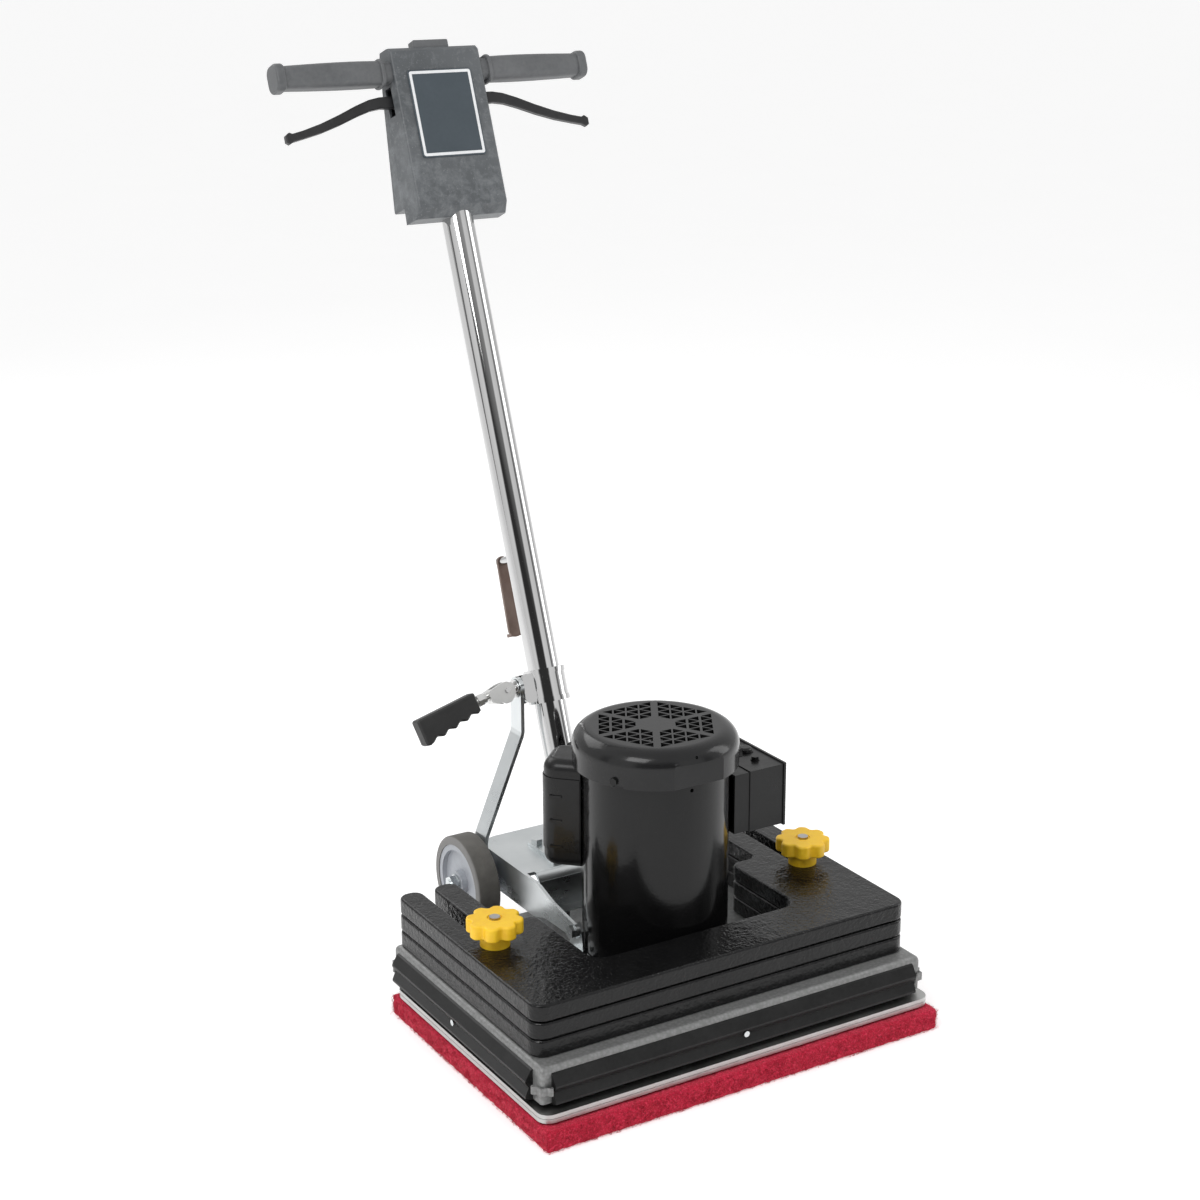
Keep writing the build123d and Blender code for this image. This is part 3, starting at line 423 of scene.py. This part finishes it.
def outwards(point):
    """Nearest point on the pad's rounded core and the direction from it to the skin."""
    core = Vector([min(max(point[a], pad_low[a] + pad_round), pad_high[a] - pad_round)
                   for a in range(3)])
    return core, (point - core).normalized()


def add_pad():
    """Pad with softly rounded edges and a lumpy skin, in place of its plain CAD block."""
    points, faces = rounded_block(pad_low, pad_high, pad_cell)
    for point in points:
        core, direction = outwards(point)
        swell = (lump_height * noise.noise(point * lump_scale)
                 + grain_height * noise.noise(point * grain_scale))
        place = core + direction * (pad_round - skin_sink + swell)
        place.z = min(max(place.z, pad_low.z), pad_high.z)
        point[:] = place
    pad = new_piece("pad_block", points, faces, "pad")
    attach(pad, "pad_driver")
    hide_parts("scrub_pad")


fibre_count = 5200
fibre_radius = 0.00016
fibre_steps = 4
fibre_root = 0.0008
fibre_lengths = (0.003, 0.009)
fibre_rises = (0.0006, 0.0024)
short_side_share = 0.42


def fibre_seed():
    """Random point on the pad's sides or near their edges, with its outward direction."""
    on_short_side = random.random() < short_side_share
    point = Vector([random.uniform(pad_low[a], pad_high[a]) for a in range(3)])
    if on_short_side:
        point.x = random.choice((pad_low.x, pad_high.x))
    else:
        point.y = random.choice((pad_low.y, pad_high.y))
    return outwards(point)


def fibre(points, faces):
    """Thin curved strand that leaves the pad, bows out and goes back in."""
    core, direction = fibre_seed()
    start = core + direction * (pad_round - fibre_root)
    sideways = direction.cross(Vector((random.gauss(0, 1), random.gauss(0, 1),
                                       random.gauss(0, 1)))).normalized()
    length = random.uniform(*fibre_lengths)
    rise = random.uniform(*fibre_rises)
    across = direction.cross(sideways)
    for step in range(fibre_steps + 1):
        along = step / fibre_steps
        centre = start + sideways * (length * along) + direction * rise * math.sin(math.pi * along)
        centre.z = min(max(centre.z, pad_low.z + fibre_radius), pad_high.z - fibre_radius)
        for corner in range(3):
            angle = 2 * math.pi * corner / 3
            points.append(centre + (direction * math.cos(angle) + across * math.sin(angle))
                          * fibre_radius)
    first = len(points) - 3 * (fibre_steps + 1)
    for step in range(fibre_steps):
        faces.extend(ring_strip(first + 3 * step, first + 3 * step + 3, 3))
    faces.append((first + 2, first + 1, first))
    last = len(points) - 3
    faces.append((last, last + 1, last + 2))


def add_fibres():
    """Loose strands on the pad's sides, all in one piece."""
    random.seed(7)
    points, faces = [], []
    for _ in range(fibre_count):
        fibre(points, faces)
    piece = new_piece("pad_fibres", points, faces, "pad")
    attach(piece, "pad_driver")


# ---- line round the label panel --------------------------------------------------
panel_half_x, panel_low, panel_high, panel_face = 0.0425, 0.061, 0.167, 0.0256
panel_corner, smallest_corner, corner_steps = 0.0045, 0.0006, 4
line_inset, line_width, line_proud = 0.0017, 0.0034, 0.0002


def panel_ring(inset, depth):
    """Rounded rectangle on the label panel, this far inside its edge."""
    radius = max(panel_corner - inset, smallest_corner)
    half_x = panel_half_x - inset - radius
    half_rise = (panel_high - panel_low) / 2 - inset - radius
    middle = (panel_low + panel_high) / 2
    ring = []
    for corner, (side_x, side_rise) in enumerate(((1, 1), (-1, 1), (-1, -1), (1, -1))):
        for step in range(corner_steps + 1):
            angle = math.radians(90 * (corner + step / corner_steps))
            ring.append(box_point(side_x * half_x + radius * math.cos(angle),
                                  middle + side_rise * half_rise + radius * math.sin(angle),
                                  depth))
    return ring


def add_label_line():
    """Raised border line near the panel's edge."""
    top, foot = panel_face + line_proud, panel_face - line_proud
    rings = [panel_ring(line_inset, foot), panel_ring(line_inset, top),
             panel_ring(line_inset + line_width, top), panel_ring(line_inset + line_width, foot)]
    count = len(rings[0])
    points = [point for ring in rings for point in ring]
    faces = []
    for index in range(4):
        faces += ring_strip(index * count, (index + 1) % 4 * count, count)
    line = new_piece("label_line", points, faces, "line", smooth=False)
    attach(line, "handle")


# ---- camera, light and floor ---------------------------------------------------
# The fitted viewing angle: 31 degrees round from the front and 17 degrees down
camera_place = Vector((-1.2382, -1.9258, 1.2170))
camera_right = Vector((0.85663, -0.51591, -0.00511))
camera_forward = Vector((0.49284, 0.82117, -0.28772))


def add_camera():
    """Camera at the fitted place and angle, with a small shift for the framing."""
    camera_up = camera_right.cross(camera_forward)
    turn = Matrix((camera_right, camera_up, -camera_forward)).transposed().to_4x4()
    data = bpy.data.cameras.new("camera")
    data.lens = 66.6
    data.sensor_width = 36
    data.shift_x = 0.0080
    data.shift_y = -0.0232
    camera = bpy.data.objects.new("camera", data)
    camera.matrix_world = Matrix.Translation(camera_place) @ turn
    bpy.context.scene.collection.objects.link(camera)
    bpy.context.scene.camera = camera


# Soft area lights: name, place, point they face, width and height in metres, watts
area_lights = [
    ("key", (-1.7, -0.9, 2.3), (0, 0, 0.2), (1.2, 1.2), 28),
    ("fill", (2.2, -0.6, 1.3), (0, 0, 0.3), (0.8, 1.8), 12),
    ("back", (-0.6, 2.4, 2.2), (0, 0, 0.2), (2.2, 1.2), 18),
]


def add_area(name, place, target, size, power):
    """One rectangular soft light."""
    data = bpy.data.lights.new(name, "AREA")
    data.shape = "RECTANGLE"
    data.size, data.size_y = size
    data.energy = power
    light = bpy.data.objects.new(name, data)
    light.location = place
    direction = Vector(target) - Vector(place)
    light.rotation_euler = direction.to_track_quat("-Z", "Y").to_euler()
    bpy.context.scene.collection.objects.link(light)


# Level direction from the object towards the viewer's side of the room
viewer_side = Vector((-0.5147, -0.8574, 0))
# Brightness round the horizon, from the far side of the room (0) to the viewer's side (1)
horizon_levels = [(0.0, 0.88), (0.55, 0.84), (0.62, 0.20), (0.67, 0.20), (0.71, 1.0), (0.92, 1.15),
                  (0.955, 0.05), (1.0, 0.05)]
overhead = (0.95, 0.95, 0.95)
backdrop_grey = (1.18, 1.18, 1.18)
room_strength = 0.8


def add_world():
    """Banded room that lights the object; the camera sees a plain pale backdrop instead."""
    world = bpy.data.worlds.new("studio")
    world.use_nodes = True
    g = Graph(world.node_tree)
    axes = g.axes(g.add("ShaderNodeTexCoord").outputs["Generated"])
    x, y, z = axes["X"], axes["Y"], axes["Z"]
    level = g.math("SQRT", g.math("ADD", g.math("MULTIPLY", x, x), g.math("MULTIPLY", y, y)), 0)
    facing = g.math("ADD", g.math("MULTIPLY", x, viewer_side.x),
                    g.math("MULTIPLY", y, viewer_side.y))
    around = g.ramp(g.remap(g.math("DIVIDE", facing, level), -1, 1), horizon_levels)
    room = g.mix(g.remap(z, 0.35, 0.7), around, overhead)
    seen_directly = g.add("ShaderNodeLightPath").outputs["Is Camera Ray"]
    background = g.tree.nodes["Background"]
    g.link(g.mix(seen_directly, room, backdrop_grey), background.inputs["Color"])
    background.inputs["Strength"].default_value = room_strength
    bpy.context.scene.world = world


def add_studio():
    """World, lights and plain colour handling."""
    add_world()
    for light in area_lights:
        add_area(*light)
    bpy.context.scene.view_settings.view_transform = "Standard"


floor_reach = 80.0


def add_floor():
    """Plain pale floor out to the horizon."""
    corners = [(-floor_reach, -floor_reach, 0), (floor_reach, -floor_reach, 0),
               (floor_reach, floor_reach, 0), (-floor_reach, floor_reach, 0)]
    new_piece("floor", corners, [(0, 1, 2, 3)], "floor", smooth=False)


add_camera()
add_studio()
add_floor()
add_pad()
add_fibres()
add_label_line()
